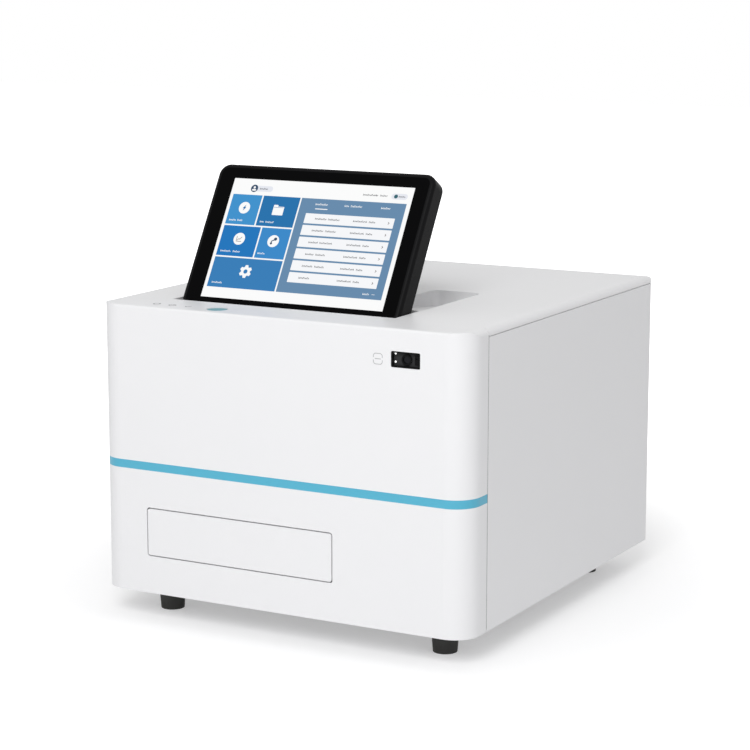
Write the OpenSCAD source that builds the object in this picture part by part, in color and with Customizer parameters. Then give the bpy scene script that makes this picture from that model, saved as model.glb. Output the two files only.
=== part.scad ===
// Microplate reader: a bench-top absorbance reader with a plate drawer and a fold-down touch screen.
// Millimetres. X runs across the front, Y towards the rear, Z up. The origin is on the bench,
// below the centre of the housing.

/* [Housing] */
// Width of the housing
body_w = 340; // [334:1:380]
// Depth of the housing
body_d = 362; // [354:1:400]
// Height of the housing above its feet
body_h = 239; // [232:1:260]
// Height of each rubber foot
foot_h = 24; // [20:1:30]
// Wall of the moulded front panel and top cover
wall = 2.5; // [2:0.1:3]
// Thickness of the side panels' sheet metal
sheet = 1.5; // [1:0.1:2]
// Depth of the front panel, from its face to the seam on the side
front_depth = 34; // [30:1:38]
// Radius of the front panel's upright corners
corner_r = 21; // [14:1:26]
// Radius of the top edges along the sides and the rear
edge_r = 5; // [4:0.5:6]
// Radius of the edge between the front face and the top
brow_r = 1.8; // [1.2:0.1:2.4]
// Radius of the upright corners at the rear
rear_r = 4; // [3:0.5:6]
// Height of the top cover's lip on the sides
lip_h = 6; // [5.5:0.5:9]
// Width of the seam under the top cover's lip
seam = 0.5; // [0.4:0.1:1]
// Width of the seam behind the front panel, down the sides
front_seam = 1; // [0.6:0.1:1.2]
// Width of the joint between the front panel and the cover, across the top
top_joint = 0.2; // [0.1:0.1:0.4]

/* [Front] */
// Height of the coloured stripe
stripe_h = 7; // [5:0.5:9]
// Height of the stripe's lower edge above the housing's underside
stripe_up = 103.3; // [100:0.5:115]
// Depth of the groove that holds the stripe
stripe_t = 1; // [0.6:0.1:1.4]
// Width of the drawer opening
door_w = 175.3; // [174:0.5:180]
// Height of the drawer opening
door_h = 41; // [39:0.5:44]
// Distance from the housing's left side to the drawer opening
door_side = 46.35; // [44:0.05:48]
// Height of the opening's lower edge above the housing's underside
door_up = 31.3; // [30.5:0.1:33]
// Corner radius of the drawer opening
door_r = 2.5; // [1.5:0.5:4]
// Gap round the drawer front
door_gap = 1; // [0.8:0.1:1.4]
// Width of the code scanner's window
scan_w = 25.2; // [22:0.2:28]
// Height of the code scanner's window
scan_h = 12.6; // [11:0.2:14]
// Distance of the code scanner's centre from the housing's right side
scan_side = 53.8; // [50:0.2:62]
// Depth of the scanner's centre below the housing's top
scan_down = 23.8; // [22:0.2:30]
// Diameter of the power button's cap
button_d = 16; // [14:0.5:18]
// Sideways place of the power button
button_x = -62.5; // [-80:0.5:-50]
// Distance of the power button's centre from the front face
button_back = 15.5; // [15:0.5:17]
// Travel of the power button
button_travel = 1.2; // [0.8:0.1:1.5]

/* [Touch screen] */
// Width of the screen's casing
screen_w = 204; // [190:1:206]
// Height of the screen's casing
screen_h = 132; // [125:0.5:134]
// Thickness of the screen's casing
screen_t = 18.5; // [17:0.5:19]
// Corner radius of the screen's casing
screen_r = 10; // [7:0.5:12]
// Radius of the screen casing's front edge
front_round = 3.4; // [2:0.2:4]
// Radius of the screen casing's rear edge
back_round = 2; // [1:0.5:3]
// Lean of the raised screen from upright, in degrees
screen_tilt = 30.8; // [28:0.2:34]
// Sideways place of the screen's centre
screen_x = -19; // [-20:0.5:-16]
// Distance from the hinge axis down to the screen's lower edge
screen_below = 19.5; // [18:0.5:20]
// Distance of the hinge axis from the front face
hinge_back = 74.4; // [72:0.2:76]
// Distance of the hinge axis behind the screen's back
hinge_gap = 1; // [0.9:0.1:1.4]
// Width of the display's bright area
view_w = 172.2; // [160:0.2:174]
// Height of the display's bright area
view_h = 107.6; // [100:0.2:109]
// Height of the bright area's lower edge above the casing's lower edge
view_up = 10.9; // [9:0.1:12]
// Radius of the hinge knuckles
knuckle_r = 3.5; // [3:0.1:4]
// Distance of each hinge from the screen's centre
hinge_x = 60; // [50:1:68]

/* [Top recess] */
// Clearance between the screen's left end and the recess
recess_left = 3; // [1:0.2:4]
// Clearance between the screen's right end and the recess
recess_right = 1; // [0.6:0.2:3]
// Distance of the finger scoop's right side from the screen's right end
scoop_right = 2.5; // [1:0.2:4]
// Distance of the recess's front edge from the front face
recess_front = 43.4; // [42:0.2:44]
// Distance of the recess's rear edge from the front face
recess_rear = 89; // [88:0.5:92]
// Depth of the recess
recess_deep = 22; // [21.5:0.5:24]
// Width of the finger scoop
scoop_w = 45; // [40:1:50]
// Depth of the finger scoop at its rear end
scoop_deep = 14.2; // [12:0.2:16]
// Distance of the scoop's rear end from the front face
scoop_rear = 193.8; // [190:0.2:198]
// Corner radius of the scoop's rear end
scoop_r = 8; // [5:0.5:10]

/* [Plate drawer] */
// Length of a standard microplate
plate_l = 127.76; // [127.5:0.01:128]
// Width of a standard microplate
plate_w = 85.48; // [85.2:0.01:85.8]
// Clearance round the microplate in its nest
nest_gap = 0.25; // [0.15:0.05:0.4]
// Depth of the plate nest
nest_deep = 4.5; // [3.5:0.1:5]
// Thickness of the plate carrier
carrier_t = 8; // [7:0.5:9]
// Width of the plate carrier
carrier_w = 168; // [165:0.5:170]
// Length of the plate carrier
carrier_l = 216; // [212:1:220]
// Height of the carrier's underside above the housing's underside
carrier_up = 36; // [35.5:0.1:37]
// Travel of the drawer
drawer_travel = 120; // [115:1:124]
// Pitch of the plate's wells
well_pitch = 9; // [9:0.01:9.01]
// Diameter of the guide rails
rail_d = 8; // [7:0.5:8]
// Distance of each drawer rail's axis from the carrier's edge
rail_inset = 16; // [15:0.5:17]
// Outside diameter of the linear bearings
bearing_d = 15; // [14:0.5:15.5]
// Length of the linear bearings
bearing_l = 24; // [20:1:24]
// Running clearance of a shaft in its bore, on the radius
run_gap = 0.05; // [0.03:0.01:0.08]

/* [Optical head] */
// Travel of the optical head
head_travel = 73; // [63:1:73]
// Height of the head's lower face above the housing's underside
head_up = 68; // [66:1:72]
// Diameter of the filter wheel
wheel_d = 80; // [74:1:84]
// Radius of the circle that the filters lie on
filter_ring = 30; // [27:0.5:31]
// Diameter of each filter
filter_d = 12.7; // [10:0.1:14]
// Number of filters
filters = 8; // [6:1:9]

/* [Rear] */
// Side of the fan
fan_w = 60; // [56:1:62]
// Thickness of the fan
fan_t = 15; // [12:1:20]
// Number of fan blades
blades = 7; // [5:1:9]

/* [Hidden] */
$fn = 72;

white = [0.93, 0.93, 0.94];
grey = [0.78, 0.78, 0.79];
cyan = [0.30, 0.69, 0.80];
black = [0.05, 0.05, 0.055];
steel = [0.72, 0.73, 0.75];
alloy = [0.80, 0.81, 0.83];
brass = [0.75, 0.62, 0.30];
green = [0.05, 0.33, 0.18];

over = 1;          // how far a cut runs past the face it opens
fit = 0.3;         // clearance between parts that are assembled
front_y = -body_d / 2;
rear_y = body_d / 2;
floor_z = foot_h;
top_z = foot_h + body_h;
seam_y = front_y + front_depth;
inner_y = front_y + wall;
lip_z = top_z - lip_h;
side_top = lip_z - seam;
rear_face = rear_y - sheet;
rear_in = rear_face - sheet;
rear_wrap = 15;
return_w = 12;
cover_rib = 6.5;

// Base and feet
base_t = 2;
base_inset = wall + fit;
base_low = floor_z + sheet;
base_z = base_low + base_t;
upstand = 12;
foot_x = body_w / 2 - 41;
foot_y = body_d / 2 - 44;
foot_top_r = 12;
foot_low_r = 9.8;
foot_head_r = 4.5;
foot_head_up = 9;
foot_nut_r = 4;     // a nut pressed into the base plate, flush with it
tab_h = 6;

// Screws of the casing
screw_r = 1.5;
screw_head_r = 3;
screw_head_h = 1.4;
screw_l = 7;
lid_screw_l = lip_h + seam + sheet - wall;
side_ys = [seam_y + 37, (seam_y + 187) / 2, rear_y - 31];
side_screw_x = body_w / 2 - 8;
rear_xs = [-body_w / 2 + 30, -45, 30, body_w / 2 - 30];
back_tab_z = side_top - 6;

// Rear
fan_x = body_w / 2 - 108;
fan_z = floor_z + 150;
inlet_x = -body_w / 2 + 52;
switch_x = inlet_x + 40;
socket_z = floor_z + 40;
inlet_w = 27;
inlet_h = 20;
switch_w = 13;
switch_h = 19;
port_xs = [body_w / 2 - 70, body_w / 2 - 44];
port_w = [12, 16];
port_h = [11, 13.5];
port_l = 17;
port_out = 0.6;

// Drawer and its drive
door_x = -body_w / 2 + door_side + door_w / 2;
door_z = floor_z + door_up + door_h / 2;
rail_span = carrier_w - 2 * rail_inset;
nest_l = plate_l + 2 * nest_gap;
nest_w = plate_w + 2 * nest_gap;
nest_y = front_y + 16 + nest_w / 2;
carrier_y = front_y + 5;
carrier_z = floor_z + carrier_up;
carrier_top = carrier_z + carrier_t;
nest_z = carrier_top - nest_deep;
rail_z = carrier_z - 1.5 - bearing_d / 2;
rail_front = front_y + 11;
rail_rear = front_y + 243;
support_l = 10;
support_w = 16;
bearing_ys = [carrier_y + carrier_l - 14, carrier_y + carrier_l - 66];
pulley_r = 6.4;
belt_t = 1.4;
belt_h = 6;
belt_x = door_x + carrier_w / 2 + 12.5;
belt_z = carrier_z + 1;
idler_y = front_y + 36;
drive_y = front_y + 273;
shaft_r = 2.5;
motor_w = 42.3;
motor_top = belt_z - 6;
clip_x = door_x + nest_l / 2 + 7;
clip_y = nest_y + nest_w / 2 - 20;
clip_t = 3;
clip_pin_r = 1.5;

// Frames and optical head
frame_t = 2;
left_frame_x = door_x - carrier_w / 2 - 24;
right_frame_x = door_x + carrier_w / 2 + 26;
tab_xs = [
    (left_frame_x + frame_t + door_x - rail_span / 2 - support_w / 2) / 2,
    -body_w / 5, -6, body_w / 2 - 60
];
frame_front = front_y + 5;
frame_rear = front_y + 250;
frame_h = 132;
head_xs = [left_frame_x + 16, right_frame_x - 14];
head_rail_z = floor_z + 94;
head_y = nest_y + 41.5;
head_front = front_y + 4.5;
head_rear = front_y + 140;
head_support_l = 8;
beam_w = 28;
beam_h = 16;
beam_z = floor_z + head_up;
beam_top = beam_z + beam_h;
end_w = 22;
end_top = head_rail_z + 10;
screw_z = head_rail_z + 24;
lead_r = 4;
nut_w = 20;
head_motor_w = 27;
head_motor_l = 30;
lens_d = 6;
lens_drop = 3;
wheel_x = head_xs[1] - nut_w / 2 - 6 - wheel_d / 2;
wheel_t = 5;
wheel_z = beam_top + wheel_d / 2 + 6;
mount_y = head_y + wheel_t / 2 + 2;
mount_t = 3;
lamp_r = 14;
lamp_l = 38;
filter_motor_r = 14;
filter_motor_l = 19;
axle_r = 2;

// Scanner and button
scan_x = body_w / 2 - scan_side;
scan_z = top_z - scan_down;
scan_face = front_y + 0.3;
scan_floor = front_y + 3.3;
scan_rim = 1.2;
scan_lens_r = 3;
scan_light_r = 0.9;
button_y = front_y + button_back;
button_rise = -0.5;
button_gap = 0.7;
shelf_z = top_z - 18;

// Screen
hinge_y = front_y + hinge_back;
hinge_z = top_z;
pin_r = 1.5;
hinge_l = 36;
hinge_mid = 13.4;
bezel_t = 5;
glass_t = 1.8;
glass_rim = front_round + 0.6;
notch_deep = 5;
notch_h = 5.5;
back_y = -hinge_gap;
face_y = -hinge_gap - screen_t;
screen_low = -screen_below;
screen_mid = screen_h / 2 - screen_below;
view_mid = screen_low + view_up + view_h / 2;
recess_z = top_z - recess_deep;
recess_y0 = front_y + recess_front;
recess_y1 = front_y + recess_rear;
recess_x0 = screen_x - screen_w / 2 - recess_left;
recess_x1 = screen_x + screen_w / 2 + recess_right;
scoop_x1 = screen_x + screen_w / 2 + scoop_right;
scoop_y1 = front_y + scoop_rear;

// A box between two corners
module block(low, high) {
    translate(low) cube(high - low);
}

// A rectangle with round corners, about the origin
module rounded_rect(w, h, r) {
    square([w - 2 * r, h], center = true);
    square([w, h - 2 * r], center = true);
    for (x = [-1, 1], y = [-1, 1])
        translate([x * (w / 2 - r), y * (h / 2 - r)]) circle(r);
}

// A plate that stands across Y, with its outline drawn in XZ, from y = 0 towards +Y
module upright(depth) {
    translate([0, depth, 0]) rotate([90, 0, 0]) linear_extrude(height = depth) children();
}

// A bar that runs along +X, with its section drawn in YZ
module crosswise(length) {
    rotate([90, 0, 90]) linear_extrude(height = length) children();
}

// A round bar along +Y
module rod(r, length) {
    rotate([-90, 0, 0]) cylinder(r = r, h = length);
}

// A round bar along +X
module spindle(r, length) {
    rotate([0, 90, 0]) cylinder(r = r, h = length);
}

// A row of slots that run along Y, side by side in X
module slots(count, pitch, length, width) {
    for (i = [0:count - 1])
        translate([(i - (count - 1) / 2) * pitch, 0]) rounded_rect(width, length, width / 2 - 0.01);
}

// A pan-head screw that points down, with its head's underside at z = 0
module screw(r = screw_r, length = screw_l, head_r = screw_head_r, head_h = screw_head_h) {
    difference() {
        union() {
            cylinder(r = head_r, h = head_h, $fn = 32);
            translate([0, 0, -length]) cylinder(r = r, h = length, $fn = 32);
        }
        for (a = [0, 90])
            rotate([0, 0, a]) translate([0, 0, head_h])
                cube([head_r * 1.2, head_r * 0.28, head_h], center = true);
    }
}

// The housing's outline from above, drawn in by inset
module plan_outline(inset) {
    fr = corner_r - inset;
    rr = max(rear_r - inset, 0.5);
    w = body_w - 2 * inset;
    y0 = front_y + inset;
    y1 = rear_y - inset;
    translate([-w / 2, y0 + fr]) square([w, y1 - y0 - fr - rr]);
    translate([-w / 2 + fr, y0]) square([w - 2 * fr, fr + over]);
    translate([-w / 2 + rr, y1 - rr - over]) square([w - 2 * rr, rr + over]);
    for (s = [-1, 1]) {
        translate([s * (w / 2 - fr), y0 + fr]) circle(fr);
        translate([s * (w / 2 - rr), y1 - rr]) circle(rr);
    }
}

// The housing's section from the front, with round top edges
module front_section(inset) {
    r = max(edge_r - inset, 0.5);
    w = body_w - 2 * inset;
    low = floor_z - (inset > 0 ? over : 0);
    translate([-w / 2, low]) square([w, top_z - inset - r - low]);
    translate([-w / 2 + r, low]) square([w - 2 * r, top_z - inset - low]);
    for (s = [-1, 1])
        translate([s * (w / 2 - r), top_z - inset - r]) circle(r);
}

// The housing's section from the side, with a tight brow and a softer rear edge
module side_section(inset) {
    br = max(brow_r - inset, 0.5);
    rr = max(edge_r - inset, 0.5);
    y0 = front_y + inset;
    y1 = rear_y - inset;
    low = floor_z - over;
    high = top_z - inset;
    translate([y0, low]) square([y1 - y0, high - rr - low]);
    translate([y0 + br, low]) square([y1 - y0 - br - rr, high - low]);
    translate([y0, high - rr - over]) square([rr + br, rr + over - br]);
    translate([y0 + br, high - br]) circle(br);
    translate([y1 - rr, high - rr]) circle(rr);
}

// The whole outer form of the housing, or the form of its inside
module housing_form(inset) {
    intersection() {
        translate([0, 0, floor_z - over]) linear_extrude(height = body_h + 2 * over) plan_outline(inset);
        translate([0, front_y - over, 0]) upright(body_d + 2 * over) front_section(inset);
        translate([-body_w / 2 - over, 0, 0]) crosswise(body_w + 2 * over) side_section(inset);
    }
}

// Places of the casing's screws: the frame of each child has its screw pointing down its -Z
module below_screws() {
    for (s = [-1, 1], y = side_ys)
        translate([s * side_screw_x, y, floor_z]) rotate([180, 0, 0]) children();
    for (x = tab_xs)
        translate([x, inner_y + 7, base_low]) rotate([180, 0, 0]) children();
}

module lid_screws() {
    for (s = [-1, 1], y = side_ys)
        translate([s * side_screw_x, y, side_top - sheet]) rotate([180, 0, 0]) children();
}

module rear_screws() {
    for (x = rear_xs, z = [base_low + 8, back_tab_z])
        translate([x, rear_face, z]) rotate([-90, 0, 0]) children();
}

module bracket_screws() {
    for (s = [-1, 1], t = [-1, 1])
        translate([screen_x + s * hinge_x + t * 13, hinge_y + 6, recess_z + 2.5]) children();
}

module drill(r = screw_r + 0.2, length = screw_l) {
    translate([0, 0, -length - over]) cylinder(r = r, h = length + 2 * over, $fn = 32);
}

module foot_places() {
    for (x = [-1, 1], y = [-1, 1])
        translate([x * foot_x, y * foot_y, 0]) children();
}

// The casing

module base_plate() {
    color(grey) difference() {
        union() {
            intersection() {
                translate([0, 0, base_low]) linear_extrude(height = base_t) plan_outline(base_inset);
                block([-body_w, front_y, 0], [body_w, rear_in, top_z]);
            }
            for (s = [-1, 1])
                translate([s * (body_w / 2 - sheet - base_t / 2), (seam_y + rear_in) / 2 + 2, base_low + upstand / 2])
                    cube([base_t, rear_in - seam_y - 14, upstand], center = true);
            block([-body_w / 2 + 14, rear_in - base_t, base_low],
                [body_w / 2 - 14, rear_in, base_low + upstand]);
        }
        foot_places() translate([0, 0, base_low - over]) cylinder(r = foot_nut_r, h = base_t + 2 * over);
        translate([110, -30, base_low - over]) linear_extrude(height = base_t + 2 * over) slots(7, 9, 70, 4);
        translate([-100, 10, base_low - over]) linear_extrude(height = base_t + 2 * over) slots(3, 9, 50, 4);
        below_screws() drill();
        rear_screws() drill();
    }
}

// The seam behind the front panel, open to its full width from each side's rounded edge down
module side_seams() {
    for (s = [-1, 1])
        translate([s * (body_w - edge_r), seam_y, top_z / 2])
            cube([body_w, front_seam, top_z + 2 * over], center = true);
}

module front_panel() {
    color(white) difference() {
        union() {
            difference() {
                intersection() {
                    housing_form(0);
                    block([-body_w, front_y - over, 0], [body_w, seam_y - top_joint / 2, top_z + over]);
                }
                housing_form(wall);
                side_seams();
            }
            // the lip that closes the seam from inside
            intersection() {
                difference() {
                    union() {
                        intersection() {
                            housing_form(wall - 0.5);
                            block([-body_w, seam_y - 8, 0], [body_w, seam_y - front_seam / 2, top_z]);
                        }
                        housing_form(wall + fit);
                    }
                    housing_form(wall + fit + 1.5);
                }
                block([-body_w, seam_y - 8, floor_z + 16], [body_w, seam_y + 5, top_z]);
            }
            intersection() {
                housing_form(wall / 2);
                union() {
                    for (x = tab_xs)
                        block([x - 8, front_y, base_z], [x + 8, inner_y + 14, base_z + tab_h]);
                    // the shelf under the power button
                    block([button_x - 13, front_y, shelf_z - 2.5], [button_x + 13, button_y + 12, shelf_z]);
                    // the frame that stiffens the drawer opening
                    difference() {
                        translate([door_x, inner_y - 0.5, door_z]) upright(2.5)
                            rounded_rect(door_w + 4, door_h + 4, door_r + 2);
                        translate([door_x, inner_y - over, door_z]) upright(6)
                            rounded_rect(door_w, door_h, door_r);
                    }
                }
            }
        }
        translate([door_x, front_y - over, door_z]) upright(wall + 4) rounded_rect(door_w, door_h, door_r);
        translate([scan_x, front_y - over, scan_z]) upright(wall + 2 * over)
            rounded_rect(scan_w, scan_h, 1.2);
        translate([button_x, button_y, top_z - wall - over])
            cylinder(r = button_d / 2 + button_gap, h = wall + 2 * over);
        stripe_band(over);
        below_screws() drill();
    }
}

// The band round the front that the stripe fills; the groove's cut runs past the face by extra
module stripe_band(extra) {
    difference() {
        translate([0, 0, floor_z + stripe_up]) linear_extrude(height = stripe_h) difference() {
            union() {
                plan_outline(0);
                if (extra > 0) square([body_w + 2 * extra, body_d + 2 * extra], center = true);
            }
            plan_outline(stripe_t);
        }
        block([-body_w, seam_y - front_seam / 2, 0], [body_w, rear_y + 2 * over, top_z]);
    }
}

module accent_stripe() {
    color(cyan) stripe_band(0);
}

// The recess that the screen's foot sinks into, as a solid grown by grow
module recess_form(grow, up) {
    block([recess_x0 - grow, recess_y0 - grow, recess_z - grow], [recess_x1 + grow, recess_y1 + grow, up]);
}

// The finger scoop, a ramp that falls towards the rear
module scoop_form(grow, up) {
    intersection() {
        translate([scoop_x1 - scoop_w - grow, 0, 0]) crosswise(scoop_w + 2 * grow)
            polygon([[recess_y1 - over, top_z - 0.6 - grow], [scoop_y1 + grow, top_z - scoop_deep - grow],
                [scoop_y1 + grow, up], [recess_y1 - over, up]]);
        union() {
            translate([scoop_x1 - scoop_w / 2, 0, floor_z]) linear_extrude(height = body_h + 2 * over) {
                translate([-scoop_w / 2 - grow, recess_y1 - 2])
                    square([scoop_w + 2 * grow, scoop_y1 - recess_y1 - scoop_r + 2]);
                translate([-scoop_w / 2 + scoop_r, recess_y1])
                    square([scoop_w - 2 * scoop_r, scoop_y1 - recess_y1 + grow]);
                for (s = [-1, 1])
                    translate([s * (scoop_w / 2 - scoop_r), scoop_y1 - scoop_r]) circle(scoop_r + grow);
            }
        }
    }
}

module top_cover() {
    color(white) difference() {
        union() {
            difference() {
                intersection() {
                    housing_form(0);
                    block([-body_w, seam_y + top_joint / 2, lip_z], [body_w, rear_y + over, top_z + over]);
                }
                housing_form(wall);
                side_seams();
            }
            // ribs that rest on the side panels, and tabs behind the rear panel
            intersection() {
                housing_form(wall / 2);
                union() {
                    for (s = [-1, 1])
                        translate([s * (body_w / 2 - wall - cover_rib), (seam_y + rear_in) / 2, (side_top + top_z - 2) / 2])
                            cube([2 * cover_rib, rear_in - seam_y - 14, top_z - 2 - side_top], center = true);
                    for (x = rear_xs)
                        block([x - 8, rear_in - 5, side_top - 12], [x + 8, rear_in, top_z - 2]);
                    block([-body_w / 2 + return_w + 6, rear_in - 2, side_top - 3],
                        [body_w / 2 - return_w - 6, rear_in, top_z - 2]);
                }
            }
            recess_form(wall, top_z - 1);
            scoop_form(wall, top_z - 1);
        }
        recess_form(0, top_z + over);
        scoop_form(0, top_z + over);
        lid_screws() drill(length = lid_screw_l);
        rear_screws() drill();
        bracket_screws() drill();
    }
}

// One side panel of folded sheet, with returns at its foot and its top
module side_panel(s) {
    x0 = body_w / 2 - sheet - return_w;
    color(white) difference() {
        intersection() {
            housing_form(0);
            block([s > 0 ? 0 : -body_w, seam_y + front_seam / 2, 0],
                [s > 0 ? body_w : 0, rear_y + over, side_top]);
            union() {
                difference() {
                    block([-body_w, front_y, 0], [body_w, rear_y + over, top_z]);
                    housing_form(sheet);
                    block([-body_w / 2 + rear_wrap, 0, 0], [body_w / 2 - rear_wrap, rear_y + 2, top_z]);
                }
                for (z = [floor_z, side_top - sheet])
                    translate([s * (x0 + return_w / 2 + 0.5), (seam_y + rear_in) / 2 + 1, z + sheet / 2])
                        cube([return_w + 1, rear_in - seam_y - 14, sheet], center = true);
            }
        }
        below_screws() drill();
        lid_screws() drill(length = lid_screw_l);
    }
}

module left_side_panel() {
    side_panel(-1);
}

module right_side_panel() {
    side_panel(1);
}

module rear_panel() {
    color(grey) difference() {
        block([-body_w / 2 + 4.5, rear_in, base_low], [body_w / 2 - 4.5, rear_face, side_top]);
        translate([inlet_x, rear_in - over, socket_z]) upright(sheet + 2 * over)
            rounded_rect(inlet_w + 0.4, inlet_h + 0.4, 2);
        translate([switch_x, rear_in - over, socket_z]) upright(sheet + 2 * over)
            rounded_rect(switch_w + 0.4, switch_h + 0.4, 1);
        for (i = [0, 1])
            translate([port_xs[i], rear_in - over, main_z + port_h[i] / 2]) upright(sheet + 2 * over)
                square([port_w[i] + 0.8, port_h[i] + 0.8], center = true);
        translate([fan_x, rear_in - over, fan_z]) rod(fan_w / 2 - 2, sheet + 2 * over);
        translate([fan_x - 132, rear_in - over, fan_z]) upright(sheet + 2 * over) slots(9, 9, 46, 4);
        rear_screws() drill();
        fan_corners() translate([0, rear_in - over, 0]) rod(1.7, sheet + 2 * over);
    }
}

module fan_corners() {
    for (x = [-1, 1], z = [-1, 1])
        translate([fan_x + x * (fan_w / 2 - 5), 0, fan_z + z * (fan_w / 2 - 5)]) children();
}

module rubber_feet() {
    color(black) foot_places() difference() {
        cylinder(r1 = foot_low_r, r2 = foot_top_r, h = base_low);
        translate([0, 0, -over]) cylinder(r = 2.2, h = base_low + 2 * over);
        translate([0, 0, -over]) cylinder(r = foot_head_r + 0.5, h = foot_head_up + over);
    }
}

module foot_screws() {
    color(steel) foot_places() {
        translate([0, 0, foot_head_up]) rotate([180, 0, 0])
            screw(2, base_z - foot_head_up, foot_head_r, 3);
        translate([0, 0, base_low]) cylinder(r = foot_nut_r, h = base_t);
    }
}

module case_screws() {
    color(steel) {
        below_screws() screw();
        lid_screws() screw(length = lid_screw_l);
        rear_screws() screw();
        bracket_screws() screw(length = 5.5);
    }
}

// The inner frames and the rails

// A side frame of folded sheet that carries the head's rail; its foot turns towards s
module side_frame(x, s) {
    color(alloy) difference() {
        union() {
            block([x, frame_front, base_z], [x + frame_t, frame_rear, base_z + frame_h]);
            block([s > 0 ? x : x - 12, frame_front + 20, base_z],
                [s > 0 ? x + frame_t + 12 : x + frame_t, frame_rear, base_z + frame_t]);
        }
        for (y = [-110, -22])
            translate([x - over, y, base_z + 44]) crosswise(frame_t + 2 * over) rounded_rect(66, 40, 8);
        translate([x - over, 26, base_z + 90]) crosswise(frame_t + 2 * over) rounded_rect(44, 52, 8);
        for (y = [-140, -60, 20])
            translate([x + frame_t / 2 + s * 8, y, base_z - over])
                cylinder(r = 1.6, h = frame_t + 2 * over, $fn = 32);
    }
}

module left_frame() {
    side_frame(left_frame_x, -1);
}

module right_frame() {
    side_frame(right_frame_x, 1);
}

module drawer_rails() {
    color(steel) for (s = [-1, 1])
        translate([door_x + s * rail_span / 2, rail_front, rail_z]) rod(rail_d / 2, rail_rear - rail_front);
}

module drawer_rail_supports() {
    color(alloy) for (s = [-1, 1], y = [rail_front, rail_rear - support_l])
        translate([door_x + s * rail_span / 2, y, 0]) difference() {
            union() {
                block([-support_w / 2, 0, base_z], [support_w / 2, support_l, rail_z + 5.5]);
                block([-support_w / 2 - 7, 0, base_z], [support_w / 2 + 7, support_l, base_z + 4]);
            }
            translate([0, -over, rail_z]) rod(rail_d / 2, support_l + 2 * over);
            for (t = [-1, 1])
                translate([t * (support_w / 2 + 3.5), support_l / 2, base_z - over])
                    cylinder(r = 1.6, h = 6, $fn = 32);
        }
}

module head_rails() {
    color(steel) for (x = head_xs)
        translate([x, head_front, head_rail_z]) rod(rail_d / 2, head_rear - head_front);
}

module head_rail_supports() {
    color(alloy) for (y = [head_front, head_rear - head_support_l]) {
        difference() {
            block([left_frame_x + frame_t, y, head_rail_z - 9],
                [head_xs[0] + 8, y + head_support_l, head_rail_z + 9]);
            translate([head_xs[0], y - over, head_rail_z]) rod(rail_d / 2, head_support_l + 2 * over);
        }
        difference() {
            block([head_xs[1] - 8, y, head_rail_z - 9], [right_frame_x, y + head_support_l, screw_z + 9]);
            translate([head_xs[1], y - over, head_rail_z]) rod(rail_d / 2, head_support_l + 2 * over);
            translate([head_xs[1], y - over, screw_z]) rod(lead_r + run_gap, head_support_l + 2 * over);
        }
    }
}

// A square stepper motor with its axis along Z and its top at z = 0
module stepper(w, h, bore) {
    difference() {
        union() {
            translate([0, 0, -h]) linear_extrude(height = 8) rounded_rect(w, w, 3);
            translate([0, 0, -h + 8]) linear_extrude(height = h - 15) rounded_rect(w - 1.5, w - 1.5, 4);
            translate([0, 0, -7]) linear_extrude(height = 7) rounded_rect(w, w, 3);
        }
        translate([0, 0, -12]) cylinder(r = bore + run_gap, h = 14);
        for (x = [-1, 1], y = [-1, 1])
            translate([x * w * 0.366, y * w * 0.366, -4]) cylinder(r = 1.5, h = 6, $fn = 32);
    }
}

module drawer_motor() {
    color(black) translate([belt_x, drive_y, motor_top]) stepper(motor_w, motor_top - base_z, shaft_r);
}

module timing_belt() {
    r = pulley_r + fit;
    color(black) difference() {
        belt_loop(r + belt_t, 0);
        belt_loop(r, over);
    }
}

module belt_loop(r, extra) {
    translate([belt_x, 0, belt_z - belt_h / 2 - extra]) linear_extrude(height = belt_h + 2 * extra) {
        translate([-r, idler_y]) square([2 * r, drive_y - idler_y]);
        for (y = [idler_y, drive_y])
            translate([0, y]) circle(r);
    }
}

module idler_bracket() {
    color(alloy) translate([belt_x, idler_y, 0]) difference() {
        union() {
            block([-9, -8, base_z], [9, 8, motor_top]);
            block([-9, -16, base_z], [9, 16, base_z + 4]);
        }
        translate([0, 0, motor_top - 16]) cylinder(r = shaft_r + run_gap, h = 20);
        for (s = [-1, 1])
            translate([0, s * 12, base_z - over]) cylinder(r = 1.6, h = 6, $fn = 32);
    }
}

module head_motor() {
    color(black) translate([head_xs[1], head_rear, screw_z]) rotate([90, 0, 0])
        stepper(head_motor_w, head_motor_l, shaft_r);
}

module detector_board() {
    z = rail_z - bearing_d / 2 - 4.2;
    color(green) {
        translate([door_x, nest_y, z]) linear_extrude(height = 1.6) rounded_rect(112, 80, 2);
        for (x = [-1, 1], y = [-1, 1])
            translate([door_x + x * 50, nest_y + y * 36, base_z]) cylinder(r = 3, h = z - base_z, $fn = 32);
    }
    color(black) for (i = [0:11], j = [0:7])
        translate([door_x + (i - 5.5) * well_pitch, nest_y + (j - 3.5) * well_pitch, z + 1.6])
            translate([-2.5, -2.5, 0]) cube([5, 5, 1.6]);
}

main_z = base_z + 20 + 1.6;
board_w = 72;
board_l = 60;
board_x = body_w / 2 - 82;
board_y = rear_in - 2 - board_l;

module main_board() {
    color(green) {
        block([board_x, board_y, main_z - 1.6], [board_x + board_w, board_y + board_l, main_z]);
        for (x = [6, board_w - 6], y = [6, board_l - 24])
            translate([board_x + x, board_y + y, base_z])
                cylinder(r = 3, h = main_z - 1.6 - base_z, $fn = 32);
    }
    color(black) translate([board_x, board_y, main_z]) {
        block([26, 10, 0], [44, 28, 2.4]);
        block([6, 14, 0], [16, 32, 4]);
        for (x = [54, 64])
            translate([x, 14, 0]) cylinder(r = 4, h = 10);
        block([52, 26, 0], [66, 32, 6]);
    }
}

// The power supply stands on four feet beside the left frame's rear end
supply_w = 114;
supply_l = 72;
supply_h = 42;
supply_x = -body_w / 2 + 12;
supply_y = rear_in - 30 - supply_l;

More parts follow.
